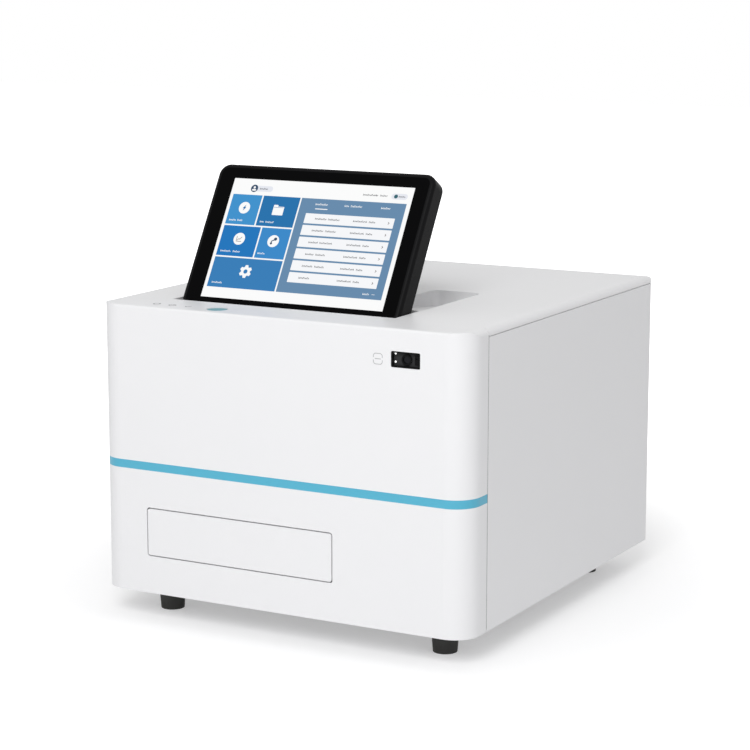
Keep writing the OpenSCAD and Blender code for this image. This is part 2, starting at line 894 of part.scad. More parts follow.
module power_supply() {
    color(steel) translate([supply_x, supply_y, base_z + 8]) difference() {
        union() {
            block([0, 0, 0], [supply_w, supply_l, supply_h]);
            for (x = [8, supply_w - 8], y = [8, supply_l - 8])
                translate([x, y, -8]) cylinder(r = 3, h = 9, $fn = 32);
        }
        translate([supply_w / 2, supply_l / 2, supply_h - 2]) linear_extrude(height = 4)
            slots(9, 9, supply_l - 22, 4);
    }
}

// The rear fittings

module fan_frame() {
    y0 = rear_in - fan_t;
    color(black) difference() {
        union() {
            difference() {
                translate([fan_x, y0, fan_z]) upright(fan_t) rounded_rect(fan_w, fan_w, 4);
                translate([fan_x, y0 - over, fan_z]) rod(fan_w / 2 - 2, fan_t + 2 * over);
            }
            translate([fan_x, y0, fan_z]) rod(12, 3);
            for (a = [45, 135])
                translate([fan_x, y0 + 1.25, fan_z]) rotate([0, a, 0])
                    cube([fan_w - 2, 2.5, 4], center = true);
        }
        translate([fan_x, y0 + 0.5, fan_z]) rod(axle_r + run_gap, 4);
        fan_corners() translate([0, y0 - over, 0]) rod(1.7, fan_t + 2 * over);
    }
}

module fan_rotor() {
    y0 = rear_in - fan_t + 3.6;
    color(black) {
        translate([fan_x, y0, fan_z]) rod(11, 9.5);
        translate([fan_x, y0 - 2.2, fan_z]) rod(axle_r, 2.4);
        intersection() {
            translate([fan_x, y0, fan_z]) rod(fan_w / 2 - 3, 9.5);
            for (i = [0:blades - 1])
                translate([fan_x, y0 + 4.75, fan_z]) rotate([0, i * 360 / blades, 0]) translate([10, 0, 0])
                    rotate([38, 0, 0]) translate([0, -0.6, -7]) cube([fan_w, 1.2, 14]);
        }
    }
}

module fan_guard() {
    color(steel) translate([fan_x, rear_face, fan_z]) {
        for (r = [8, 15, 22, 29])
            difference() {
                rod(r, 1.2);
                translate([0, -over, 0]) rod(r - 1.4, 4);
            }
        for (a = [45, 135])
            rotate([0, a, 0]) translate([0, 0.6, 0]) cube([fan_w + 10, 1.2, 2], center = true);
        fan_pads();
    }
}

module fan_pads() {
    for (x = [-1, 1], z = [-1, 1])
        translate([x * (fan_w / 2 - 5), 0, z * (fan_w / 2 - 5)]) rod(3, 1.4);
}

module power_inlet() {
    color(black) difference() {
        union() {
            translate([inlet_x, rear_face, socket_z]) upright(1.2) rounded_rect(inlet_w + 5, inlet_h + 5, 3);
            translate([inlet_x, rear_in - 18, socket_z]) upright(20) rounded_rect(inlet_w, inlet_h, 2);
        }
        difference() {
            translate([inlet_x, rear_in - 14, socket_z]) upright(20)
                rounded_rect(inlet_w - 4, inlet_h - 5, 2);
            translate([inlet_x, rear_in - 15, socket_z]) for (p = [[-7, -1.5], [0, 2.5], [7, -1.5]])
                block([p[0] - 1, 0, p[1] - 2.5], [p[0] + 1, 14, p[1] + 2.5]);
        }
    }
}

module switch_body() {
    color(black) difference() {
        union() {
            translate([switch_x, rear_face, socket_z]) upright(0.8)
                rounded_rect(switch_w + 3, switch_h + 3, 1.5);
            translate([switch_x, rear_in - 16, socket_z]) upright(18) rounded_rect(switch_w, switch_h, 1);
        }
        block([switch_x - 4.5, rear_face - 9, socket_z - 7.5],
            [switch_x + 4.5, rear_y + over, socket_z + 7.5]);
        translate([switch_x - 5.6, rear_face - 4, socket_z]) spindle(1.05, 11.2);
    }
}

module rocker() {
    color(black) {
        translate([switch_x - 4.1, rear_face - 4, socket_z]) crosswise(8.2)
            polygon([[-2, -3], [2.4, -7], [3.2, -6.9], [3.9, 0], [3.2, 6.9], [2.4, 7], [-2, 3]]);
        translate([switch_x - 5.5, rear_face - 4, socket_z]) spindle(1, 11);
    }
}

module data_ports() {
    color(steel) for (i = [0, 1])
        difference() {
            block([port_xs[i] - port_w[i] / 2, rear_face + port_out - port_l, main_z],
                [port_xs[i] + port_w[i] / 2, rear_face + port_out, main_z + port_h[i]]);
            block([port_xs[i] - port_w[i] / 2 + 1.5, rear_face + port_out - 11, main_z + 1.5],
                [port_xs[i] + port_w[i] / 2 - 1.5, rear_y + over, main_z + port_h[i] - 1.5]);
        }
}

// The code scanner and the power button

module scanner_housing() {
    color(black) difference() {
        union() {
            translate([scan_x, scan_face, scan_z]) upright(wall) rounded_rect(scan_w - 0.3, scan_h - 0.3, 1);
            block([scan_x - 16, inner_y, scan_z - 9], [scan_x + 16, inner_y + 26, scan_z + 9]);
        }
        difference() {
            translate([scan_x, front_y - over, scan_z]) upright(scan_floor - front_y + over)
                rounded_rect(scan_w - 2 * scan_rim, scan_h - 2 * scan_rim, 0.6);
            // the lens barrel and the receiver's block stand in the recess
            translate([scan_x, scan_floor - 1.6, scan_z]) rod(scan_lens_r + 1.3, 3);
            block([scan_x + 6.8, scan_floor - 1, scan_z - 3.6], [scan_x + 10.4, scan_floor + 1, scan_z + 4]);
        }
        translate([scan_x, front_y - over, scan_z]) rod(scan_lens_r, 14);
        translate([scan_x + 8, scan_floor - 2, scan_z + 1]) rod(0.9, 4);
        scan_lights() rod(scan_light_r, 5);
    }
}

module scan_lights() {
    for (z = [4.1, -2.3])
        translate([scan_x - 10, scan_floor - 0.3, scan_z + z]) children();
}

module scanner_optics() {
    color(steel) {
        translate([scan_x, scan_floor - 0.6, scan_z]) rod(scan_lens_r, 10);
        scan_lights() rod(scan_light_r, 4);
    }
}

module button_board() {
    color(green) block([button_x - 11, inner_y + 1, shelf_z], [button_x + 11, button_y + 10, shelf_z + 1.6]);
    color(black)
        block([button_x - 3, button_y - 3, shelf_z + 1.6], [button_x + 3, button_y + 3, shelf_z + 6]);
}

module power_button() {
    z = top_z - wall - fit;
    color(cyan) translate([button_x, button_y, 0]) {
        translate([0, 0, z - 2]) cylinder(r = button_d / 2 + 1.6, h = 2);
        translate([0, 0, z - over]) cylinder(r = button_d / 2, h = wall + fit + button_rise + over);
        translate([0, 0, shelf_z + 6 + button_travel + 0.3])
            cylinder(r = 2.5, h = z - 1 - shelf_z - 6 - button_travel - 0.3);
    }
}

// The drawer

module drawer_front() {
    color(white) difference() {
        union() {
            translate([door_x, front_y, door_z]) upright(4)
                rounded_rect(door_w - 2 * door_gap, door_h - 2 * door_gap, door_r - door_gap + 0.5);
            block([door_x - 60, front_y + 3.5, carrier_z], [door_x + 60, carrier_y, carrier_top]);
        }
        block([door_x - 80, front_y + 2.6, carrier_top + 3],
            [door_x + 80, front_y + 5, door_z + door_h / 2 - 4]);
    }
}

module plate_carrier() {
    color(alloy) difference() {
        translate([door_x, carrier_y + carrier_l / 2, carrier_z]) linear_extrude(height = carrier_t)
            rounded_rect(carrier_w, carrier_l, 2);
        // the nest and the window below the wells
        translate([door_x, nest_y, nest_z]) linear_extrude(height = nest_deep + over)
            rounded_rect(nest_l, nest_w, 3);
        translate([door_x, nest_y, carrier_z - over]) linear_extrude(height = carrier_t)
            rounded_rect(114, 75, 3);
        // finger notches at the front and rear of the nest
        for (s = [-1, 1])
            translate([door_x, nest_y + s * nest_w / 2, nest_z]) linear_extrude(height = nest_deep + over)
                rounded_rect(34, 16, 5);
        // the clip's nose reaches the plate through this slot
        block([door_x + nest_l / 2 - over, clip_y + 6, carrier_top - 3.4],
            [clip_x - 1, clip_y + 19, carrier_top + over]);
        // pockets behind the nest
        for (x = [-42, 0, 42])
            translate([door_x + x, nest_y + 104, carrier_z - over])
                linear_extrude(height = carrier_t + 2 * over)
                rounded_rect(32, 76, 6);
        translate([clip_x, clip_y, carrier_top - 5]) cylinder(r = clip_pin_r, h = 7);
    }
}

// The saddles that hold the linear bearings under the carrier
module bearing_blocks() {
    color(alloy) for (s = [-1, 1], y = bearing_ys)
        translate([door_x + s * rail_span / 2, y, rail_z]) difference() {
            block([-9.5, -bearing_l / 2 - 1, -1], [9.5, bearing_l / 2 + 1, carrier_z - rail_z]);
            translate([0, -bearing_l / 2 - 2, 0]) rod(bearing_d / 2, bearing_l + 4);
        }
}

module drawer_bearings() {
    color(steel) for (s = [-1, 1], y = bearing_ys)
        translate([door_x + s * rail_span / 2, y - bearing_l / 2, rail_z]) difference() {
            rod(bearing_d / 2, bearing_l);
            translate([0, -over, 0]) rod(rail_d / 2 + run_gap, bearing_l + 2 * over);
        }
}

module belt_clamp() {
    x1 = belt_x - pulley_r;
    y0 = carrier_y + carrier_l - 34;
    color(black) difference() {
        block([door_x + carrier_w / 2, y0, belt_z - belt_h / 2 - 2],
            [x1 + 0.6, y0 + 22, belt_z + belt_h / 2 + 2]);
        block([x1 - 2 * fit - belt_t, y0 - over, belt_z - belt_h / 2 - fit],
            [x1 + 4, y0 + 23, belt_z + belt_h / 2 + fit]);
    }
}

module clip_pin() {
    color(steel) translate([clip_x, clip_y, 0]) {
        translate([0, 0, carrier_top - 5]) cylinder(r = clip_pin_r, h = 5 + fit + clip_t + fit);
        translate([0, 0, carrier_top + clip_t + 2 * fit]) cylinder(r = 3.2, h = 1.2);
    }
}

module plate_clip() {
    color(black) translate([clip_x, clip_y, carrier_top + fit]) difference() {
        union() {
            cylinder(r = 5, h = clip_t);
            translate([-3.5, 0, 0]) cube([6, 16, clip_t]);
            translate([-4.5, 14, 0]) cylinder(r = 3, h = clip_t);
            translate([-2, -15, 0]) cube([5, 15, clip_t]);
            translate([0.5, -15, 0]) cylinder(r = 2.5, h = clip_t);
        }
        translate([0, 0, -over]) cylinder(r = clip_pin_r + run_gap, h = clip_t + 2 * over);
    }
}

// The optical head

module head_beam() {
    y0 = head_y - beam_w / 2;
    y1 = head_y + beam_w / 2;
    color(alloy) difference() {
        union() {
            block([head_xs[0] - 2, y0, beam_z], [head_xs[1] + 2, y1, beam_top]);
            for (x = head_xs)
                block([x - end_w / 2, y0, beam_z], [x + end_w / 2, y1, end_top]);
            // the wheel's mounting plate and the mirror block in front of the wheel
            block([wheel_x - 17, mount_y, beam_top - over], [wheel_x + 17, mount_y + mount_t, wheel_z + 17]);
            block([wheel_x - 10, y0, beam_top - over],
                [wheel_x + 10, head_y - wheel_t / 2 - 1, wheel_z - filter_ring + 12]);
        }
        for (x = head_xs)
            translate([x, y0 - over, head_rail_z]) rod(bearing_d / 2, beam_w + 2 * over);
        for (i = [0:11])
            translate([door_x + (i - 5.5) * well_pitch, nest_y + 41.5, beam_z - over])
                cylinder(r = lens_d / 2, h = 13);
        translate([wheel_x, mount_y - over, wheel_z]) rod(axle_r + fit, mount_t + 2 * over);
        translate([wheel_x, y0 + 4, wheel_z - filter_ring]) rod(5, beam_w);
        translate([wheel_x, y0 + 7.6, beam_z + 4]) cylinder(r = 2.6, h = wheel_z - filter_ring - beam_z - 5);
        for (x = [-64, -24])
            translate([door_x + x, head_y, beam_top - 3]) linear_extrude(height = 6) rounded_rect(30, 16, 3);
    }
}

module head_bearings() {
    color(steel) for (x = head_xs)
        translate([x, head_y - bearing_l / 2, head_rail_z]) difference() {
            rod(bearing_d / 2, bearing_l);
            translate([0, -over, 0]) rod(rail_d / 2 + run_gap, bearing_l + 2 * over);
        }
}

module head_nut() {
    color(brass) difference() {
        block([head_xs[1] - nut_w / 2, head_y - 11, end_top], [head_xs[1] + nut_w / 2, head_y + 11, screw_z + 10]);
        translate([head_xs[1], head_y - 12, screw_z]) rod(lead_r + fit, 24);
    }
}

module lens_row() {
    color(black) for (i = [0:11])
        translate([door_x + (i - 5.5) * well_pitch, head_y, beam_z - lens_drop]) difference() {
            cylinder(r = lens_d / 2, h = lens_drop + 8);
            translate([0, 0, -over]) cylinder(r = lens_d / 2 - 0.8, h = 2);
        }
}

module lamp_housing() {
    y0 = mount_y + mount_t;
    color(black) translate([wheel_x, 0, wheel_z - filter_ring]) difference() {
        union() {
            translate([0, y0, 0]) rod(lamp_r - 2, lamp_l);
            for (i = [0:6])
                translate([0, y0 + 2 + i * 5, 0]) rod(lamp_r, 2.5);
        }
        translate([0, y0 - over, 0]) rod(5, 12);
    }
}

module filter_motor() {
    y0 = mount_y + mount_t;
    color(steel) difference() {
        translate([wheel_x, y0, wheel_z]) rod(filter_motor_r, filter_motor_l);
        translate([wheel_x, y0 - over, wheel_z]) rod(axle_r + run_gap, 11);
    }
}

module filter_places() {
    for (i = [0:filters - 1])
        rotate([0, i * 360 / filters, 0]) translate([0, 0, -filter_ring]) children();
}

module filter_wheel() {
    color(black) translate([wheel_x, head_y, wheel_z]) {
        difference() {
            translate([0, -wheel_t / 2, 0]) rod(wheel_d / 2, wheel_t);
            filter_places() translate([0, -wheel_t, 0]) rod(filter_d / 2, 2 * wheel_t);
            for (i = [0:filters - 1])
                rotate([0, (i + 0.5) * 360 / filters, 0]) translate([0, -wheel_t, 18]) rod(3.5, 2 * wheel_t);
        }
        translate([0, -wheel_t / 2 - 2, 0]) rod(7, 3);
        translate([0, wheel_t / 2 - over, 0]) rod(axle_r, mount_t + 2 + over + 8);
    }
}

module filter_set() {
    color(cyan) translate([wheel_x, head_y, wheel_z]) filter_places() translate([0, -1.5, 0])
        rod(filter_d / 2, 3);
}

module lead_screw() {
    color(steel) translate([head_xs[1], 0, screw_z]) {
        translate([0, head_front, 0]) rod(lead_r, head_rear - head_front - 0.3);
        translate([0, head_rear - over, 0]) rod(shaft_r, 9);
    }
}

// A toothed belt pulley with flanges; its shaft runs down to z_low
module belt_pulley(y, z_low) {
    color(alloy) translate([belt_x, y, 0]) {
        difference() {
            translate([0, 0, belt_z - belt_h / 2 - fit]) cylinder(r = pulley_r, h = belt_h + 2 * fit);
            for (i = [0:15])
                rotate([0, 0, i * 22.5]) translate([pulley_r - 0.7, -0.6, belt_z - 4]) cube([2, 1.2, 8]);
        }
        for (z = [belt_z - belt_h / 2 - fit - 0.9, belt_z + belt_h / 2 + fit])
            translate([0, 0, z]) cylinder(r = pulley_r + 1.5, h = 0.9);
        translate([0, 0, z_low]) cylinder(r = shaft_r, h = belt_z + 6 - z_low);
    }
}

module drive_pulley() {
    belt_pulley(drive_y, motor_top - 10);
}

module idler_pulley() {
    belt_pulley(idler_y, motor_top - 14);
}

// The touch screen: drawn upright about its hinge axis, then leaned back

module in_screen() {
    translate([screen_x, hinge_y, hinge_z]) rotate([-screen_tilt, 0, 0]) children();
}

module screen_outline(inset) {
    translate([0, screen_mid]) rounded_rect(screen_w - 2 * inset, screen_h - 2 * inset, screen_r - inset);
}

// A quarter of a disc about the origin, towards +X and +Y
module quarter(r) {
    intersection() {
        circle(r);
        square([r, r]);
    }
}

// The casing's outline as a plate from y = 0 to depth, with its far edge rounded by c all round
module rounded_plate(depth, c) {
    w = screen_w / 2;
    h = screen_h / 2;
    r = screen_r;
    upright(depth - c) screen_outline(0);
    translate([0, depth - c, 0]) upright(c) screen_outline(c);
    translate([0, depth - c, screen_mid]) for (s = [-1, 1]) {
        mirror([s < 0 ? 1 : 0, 0, 0]) translate([w - c, 0, r - h]) linear_extrude(height = 2 * (h - r))
            quarter(c);
        mirror([0, 0, s < 0 ? 1 : 0]) translate([r - w, 0, h - c]) crosswise(2 * (w - r)) quarter(c);
        for (t = [-1, 1])
            translate([s * (w - r), 0, t * (h - r)]) rotate([-90, 0, 0]) rotate_extrude()
                translate([r - c, 0]) quarter(c);
    }
}

module screen_back() {
    y0 = face_y + bezel_t;
    color(black) in_screen() difference() {
        union() {
            difference() {
                translate([0, y0, 0]) rounded_plate(back_y - y0, back_round);
                translate([0, y0 - over, 0]) upright(back_y - y0 - wall + over) screen_outline(wall + 1);
            }
            intersection() {
                translate([0, y0, 0]) upright(back_y - y0) screen_outline(1);
                for (s = [-1, 1])
                    block([s * hinge_x - hinge_l / 2 - 4, -hinge_gap - notch_deep - 3, -notch_h - 3],
                        [s * hinge_x + hinge_l / 2 + 4, back_y, notch_h + 3]);
            }
        }
        for (s = [-1, 1])
            block([s * hinge_x - hinge_l / 2 - 1, -hinge_gap - notch_deep, -notch_h],
                [s * hinge_x + hinge_l / 2 + 1, over, notch_h]);
        translate([0, back_y - wall - over, 78]) upright(wall + 2 * over) slots(13, 8, 26, 3);
    }
}

module screen_bezel() {
    color(black) in_screen() difference() {
        translate([0, face_y + bezel_t, 0]) mirror([0, 1, 0]) rounded_plate(bezel_t, front_round);
        translate([0, face_y - over, 0]) upright(glass_t + over) screen_outline(glass_rim);
        translate([0, face_y, view_mid]) upright(bezel_t + over)
            square([view_w + 8.4, view_h + 8.4], center = true);
    }
}

module touch_glass() {
    color(black) in_screen() translate([0, face_y, 0]) upright(glass_t) screen_outline(glass_rim);
}

module display_panel() {
    color(steel) in_screen() translate([0, face_y + glass_t, view_mid]) upright(5)
        square([view_w + 8, view_h + 8], center = true);
}

module screen_board() {
    y0 = face_y + glass_t + 5;
    color(green) in_screen() {
        block([-70, y0, 12], [50, y0 + 1.6, 84]);
        block([-40, y0 + 1.6, 36], [-16, y0 + 4, 60]);
        block([10, y0 + 1.6, 30], [26, y0 + 3.6, 44]);
    }
}

// One knuckle of a hinge, with the bore for its pin
module knuckle(length, bore) {
    difference() {
        translate([-length / 2, 0, 0]) spindle(knuckle_r, length);
        translate([-length / 2 - over, 0, 0]) spindle(bore, length + 2 * over);
    }
}

module hinge_leaves() {
    w = (hinge_l - hinge_mid) / 2 - fit;
    color(steel) in_screen() for (s = [-1, 1], t = [-1, 1])
        translate([s * hinge_x + t * (hinge_mid / 2 + fit + w / 2), 0, 0]) difference() {
            union() {
                knuckle(w, pin_r + run_gap);
                block([-w / 2, -hinge_gap - notch_deep, -2.4], [w / 2, 0, 2.4]);
            }
            translate([-w / 2 - over, 0, 0]) spindle(pin_r + run_gap, w + 2 * over);
        }
}

module hinge_brackets() {
    color(steel) for (s = [-1, 1])
        translate([screen_x + s * hinge_x, hinge_y, hinge_z]) difference() {
            union() {
                knuckle(hinge_mid, pin_r);
                block([-hinge_mid / 2, -2.4, -recess_deep], [hinge_mid / 2, 3.4, 0]);
                block([-hinge_l / 2, -7, -recess_deep], [hinge_l / 2, 12, -recess_deep + 2.5]);
            }
            translate([-hinge_mid, 0, 0]) spindle(pin_r, 2 * hinge_mid);
            for (t = [-1, 1])
                translate([t * 13, 6, -recess_deep - over]) cylinder(r = screw_r + 0.2, h = 5, $fn = 32);
        }
}

module hinge_pins() {
    color(steel) for (s = [-1, 1])
        translate([screen_x + s * hinge_x - hinge_l / 2, hinge_y, hinge_z]) spindle(pin_r, hinge_l);
}

base_plate();
front_panel();
accent_stripe();
top_cover();
left_side_panel();
right_side_panel();
rear_panel();
rubber_feet();
foot_screws();
case_screws();
left_frame();
right_frame();
drawer_rails();
drawer_rail_supports();
head_rails();
head_rail_supports();
drawer_motor();
timing_belt();
idler_bracket();
head_motor();
detector_board();
main_board();
power_supply();
fan_frame();
fan_guard();
power_inlet();
switch_body();
data_ports();
scanner_housing();
scanner_optics();
button_board();
hinge_brackets();
hinge_pins();
drawer_front();
plate_carrier();
bearing_blocks();
drawer_bearings();
belt_clamp();
clip_pin();
plate_clip();
head_beam();
head_bearings();
head_nut();
lens_row();
lamp_housing();
filter_motor();
filter_wheel();
filter_set();
lead_screw();
drive_pulley();
idler_pulley();
fan_rotor();
power_button();
rocker();
screen_back();
screen_bezel();
touch_glass();
display_panel();
screen_board();
hinge_leaves();
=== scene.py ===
"""Looks of the microplate reader: materials, display picture, printed signs, light and camera."""

import math

import bmesh
import bpy
from mathutils import Matrix, Vector


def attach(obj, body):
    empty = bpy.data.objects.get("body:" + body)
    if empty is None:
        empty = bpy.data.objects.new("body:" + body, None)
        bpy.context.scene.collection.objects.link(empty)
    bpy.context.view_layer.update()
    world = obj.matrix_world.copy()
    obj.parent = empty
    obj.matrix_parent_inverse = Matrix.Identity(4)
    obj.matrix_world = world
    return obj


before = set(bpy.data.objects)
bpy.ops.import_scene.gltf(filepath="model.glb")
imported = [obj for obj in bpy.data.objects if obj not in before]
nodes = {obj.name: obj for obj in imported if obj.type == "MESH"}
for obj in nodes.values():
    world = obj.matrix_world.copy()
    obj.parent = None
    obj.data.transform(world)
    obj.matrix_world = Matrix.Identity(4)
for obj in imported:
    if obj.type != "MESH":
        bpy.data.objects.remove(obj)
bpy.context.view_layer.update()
scene = bpy.context.scene

# Sizes that the CAD also uses, in metres
FOOT_H = 0.024
TOP_Z = 0.263
SIDE_X = 0.170
FRONT_Y = -0.181
SEAM_Y = FRONT_Y + 0.034
SCREEN_TILT = math.radians(30.8)
SCREEN_X = -0.019
SCREEN_BELOW, SCREEN_FACE = 0.0195, 0.0195
HINGE_Y = FRONT_Y + 0.0744
VIEW_W, VIEW_H, VIEW_UP = 0.1722, 0.1076, 0.0109
VIEW_MID = VIEW_UP - SCREEN_BELOW + VIEW_H / 2
SCAN_X, SCAN_Z = 0.1162, TOP_Z - 0.0238
BUTTON_X, BUTTON_Y = -0.0625, FRONT_Y + 0.0155

# Camera
CAM_AT = Vector((0.92093, -1.69150, 0.52138 + FOOT_H))
CAM_AZ, CAM_EL = math.radians(28.82), math.radians(10.51)
CAM_SENSOR, CAM_LENS = 36, 110.02
CAM_NEAR, CAM_FAR = 0.05, 30
cam = bpy.data.cameras.new("camera")
cam.sensor_width = CAM_SENSOR
cam.lens = CAM_LENS
cam.clip_start, cam.clip_end = CAM_NEAR, CAM_FAR
cam_obj = bpy.data.objects.new("camera", cam)
cam_obj.location = CAM_AT
cam_obj.rotation_euler = (math.pi / 2 - CAM_EL, 0, CAM_AZ)
scene.collection.objects.link(cam_obj)
scene.camera = cam_obj
scene.view_settings.view_transform = "Standard"

# What all the materials share
PATCH_SCALE, PATCH_DETAIL = 14.0, 3.0
GRAIN_DETAIL, GRAIN_DEPTH = 4.0, 0.0002
ROUGH_VARY, ROUGH_LEAST = 0.12, 0.02
COAT_ROUGH = 0.08
PIXEL_SCALE, PIXEL_VARY = 1500.0, 0.03
UNLIT, UNLIT_ROUGH, UNLIT_SPEC = (0.005, 0.005, 0.006, 1), 0.3, 0.04
EDGE_SOFT = 0.0002


# Shader helpers
def new_material(name):
    m = bpy.data.materials.new(name)
    m.use_nodes = True
    return m, m.node_tree.nodes, m.node_tree.links, m.node_tree.nodes["Principled BSDF"]


def mixed(n, l, amount, low, high):
    """A colour between two: each of them is a colour or another node's output."""
    mix = n.new("ShaderNodeMix")
    mix.data_type = "RGBA"
    l.new(amount, mix.inputs[0])
    for socket, color in ((mix.inputs[6], low), (mix.inputs[7], high)):
        if isinstance(color, tuple):
            socket.default_value = color
        else:
            l.new(color, socket)
    return mix.outputs[2]


def calculated(n, l, operation, *values):
    """A Math node's result: each value is a number or another node's output."""
    node = n.new("ShaderNodeMath")
    node.operation = operation
    for socket, value in zip(node.inputs, values):
        if isinstance(value, float):
            socket.default_value = value
        else:
            l.new(value, socket)
    return node.outputs[0]


def ranged(n, l, value, to_min, to_max, from_min=0.0, from_max=1.0):
    """A Map Range node, with its value linked."""
    node = n.new("ShaderNodeMapRange")
    node.inputs["From Min"].default_value = from_min
    node.inputs["From Max"].default_value = from_max
    node.inputs["To Min"].default_value = to_min
    node.inputs["To Max"].default_value = to_max
    l.new(value, node.inputs["Value"])
    return node


def shades(color, vary):
    """The same colour a little darker and a little lighter."""
    low = [c * (1 - vary) for c in color]
    high = [min(1.0, c * (1 + vary)) for c in color]
    return (*low, 1), (*high, 1)


def surface(name, color, rough, grain=0.0, grain_size=900.0, vary=0.02, metal=0.0, spec=0.5,
            coat=0.0, brushed=None):
    """A solid material: fine grain, slight patches of colour and roughness, brushed where asked."""
    m, n, l, b = new_material(name)
    coord = n.new("ShaderNodeTexCoord")
    patch = n.new("ShaderNodeTexNoise")
    patch.inputs["Scale"].default_value = PATCH_SCALE
    patch.inputs["Detail"].default_value = PATCH_DETAIL
    l.new(coord.outputs["Object"], patch.inputs["Vector"])
    l.new(mixed(n, l, patch.outputs["Fac"], *shades(color, vary)), b.inputs["Base Color"])
    smooth = max(ROUGH_LEAST, rough * (1 - ROUGH_VARY))
    coarse = min(1.0, rough * (1 + ROUGH_VARY))
    spread = ranged(n, l, patch.outputs["Fac"], smooth, coarse)
    l.new(spread.outputs["Result"], b.inputs["Roughness"])
    b.inputs["Metallic"].default_value = metal
    b.inputs["Specular IOR Level"].default_value = spec
    b.inputs["Coat Weight"].default_value = coat
    b.inputs["Coat Roughness"].default_value = COAT_ROUGH
    if grain:
        fine = n.new("ShaderNodeTexNoise")
        fine.inputs["Scale"].default_value = grain_size
        fine.inputs["Detail"].default_value = GRAIN_DETAIL
        if brushed:
            stretch = n.new("ShaderNodeMapping")
            stretch.inputs["Scale"].default_value = brushed
            l.new(coord.outputs["Object"], stretch.inputs["Vector"])
            l.new(stretch.outputs["Vector"], fine.inputs["Vector"])
        else:
            l.new(coord.outputs["Object"], fine.inputs["Vector"])
        bump = n.new("ShaderNodeBump")
        bump.inputs["Strength"].default_value = grain
        bump.inputs["Distance"].default_value = GRAIN_DEPTH
        l.new(fine.outputs["Fac"], bump.inputs["Height"])
        l.new(bump.outputs["Normal"], b.inputs["Normal"])
    return m


def lit(name, color, glow):
    """A patch that shines by itself, with a faint pixel pattern, and is nearly black when dark."""
    m, n, l, b = new_material(name)
    coord = n.new("ShaderNodeTexCoord")
    pixels = n.new("ShaderNodeTexNoise")
    pixels.inputs["Scale"].default_value = PIXEL_SCALE
    l.new(coord.outputs["Object"], pixels.inputs["Vector"])
    tone = mixed(n, l, pixels.outputs["Fac"], *shades(color, PIXEL_VARY))
    b.inputs["Base Color"].default_value = UNLIT
    b.inputs["Roughness"].default_value = UNLIT_ROUGH
    b.inputs["Specular IOR Level"].default_value = UNLIT_SPEC
    l.new(tone, b.inputs["Emission Color"])
    b.inputs["Emission Strength"].default_value = glow
    return m


WHITE = (0.83, 0.83, 0.84)
CYAN = (0.079, 0.427, 0.595)
STEEL = (0.58, 0.59, 0.61)
BRIGHT = (0.66, 0.67, 0.69)
DARK = (0.02, 0.02, 0.022)
white_moulded = surface("white_moulded", WHITE, 0.42, 0.06, 1400, 0.006)
white_painted = surface("white_painted", WHITE, 0.38, 0.05, 700, 0.006)
grey_painted = surface("grey_painted", (0.62, 0.62, 0.63), 0.45, 0.08, 700, 0.01)
cyan_moulded = surface("cyan_moulded", CYAN, 0.36, 0.04, 1200, 0.015)
button_cyan = surface("button_cyan", (0.10, 0.34, 0.38), 0.36, 0.04, 1200, 0.015)
black_moulded = surface("black_moulded", (0.006, 0.006, 0.0065), 0.40, 0.12, 1500, 0.08, spec=0.05)
black_plastic = surface("black_plastic", (0.014, 0.014, 0.015), 0.45, 0.15, 900, 0.06, spec=0.3)
rubber = surface("rubber", (0.055, 0.055, 0.052), 0.78, 0.35, 420, 0.12, spec=0.3)
# Nearly black, for the strips in the side seams: painted shade standing in for the seams' shadow
seam_shade_black = surface("seam_shade_black", (0.006, 0.006, 0.007), 0.8, 0.2, 420, 0.1, spec=0.1)
belt_rubber = surface("belt_rubber", (0.018, 0.018, 0.018), 0.7, 0.3, 800, 0.1, spec=0.3)
screen_glass = surface("screen_glass", (0.0012, 0.0012, 0.0014), 0.10, 0.0, vary=0.05, spec=0.03)
steel = surface("steel", STEEL, 0.26, 0.10, 260, 0.03, 1.0, brushed=(1, 12, 1))
ground_steel = surface("ground_steel", BRIGHT, 0.16, 0.05, 500, 0.02, 1.0, brushed=(12, 1, 12))
zinc = surface("zinc_sheet", (0.55, 0.57, 0.59), 0.38, 0.12, 60, 0.08, 1.0)
alloy = surface("alloy_anodised", BRIGHT, 0.42, 0.10, 1100, 0.02, 0.9)
dark_alloy = surface("dark_alloy", DARK, 0.42, 0.12, 1100, 0.05, 0.6)
brass = surface("brass", (0.60, 0.42, 0.15), 0.28, 0.08, 300, 0.03, 1.0)
circuit = surface("circuit_green", (0.010, 0.085, 0.040), 0.35, 0.05, 300, 0.2, coat=0.3)
motor_black = surface("motor_black", DARK, 0.4, 0.2, 500, 0.05, 0.4)
lens_glass = surface("lens_glass", (0.007, 0.007, 0.009), 0.12, 0.0, vary=0.05, spec=0.12)
filter_glass = surface("filter_glass", (0.10, 0.30, 0.42), 0.06, 0.0, vary=0.3, spec=0.9, coat=1.0)
panel_back = surface("panel_back", (0.35, 0.36, 0.38), 0.4, 0.05, 300, 0.03, 0.6)
scanner_black = surface("scanner_black", (0.004, 0.004, 0.004), 0.42, 0.12, 1200, 0.05, spec=0.08)
port_steel = surface("port_steel", STEEL, 0.26, 0.05, 260, 0.03, 1.0)
ink = surface("ink_grey", (0.42, 0.42, 0.43), 0.5, 0.02, 900, 0.02)
sign_ink = surface("sign_grey", (0.24, 0.24, 0.25), 0.5, 0.02, 900, 0.02)

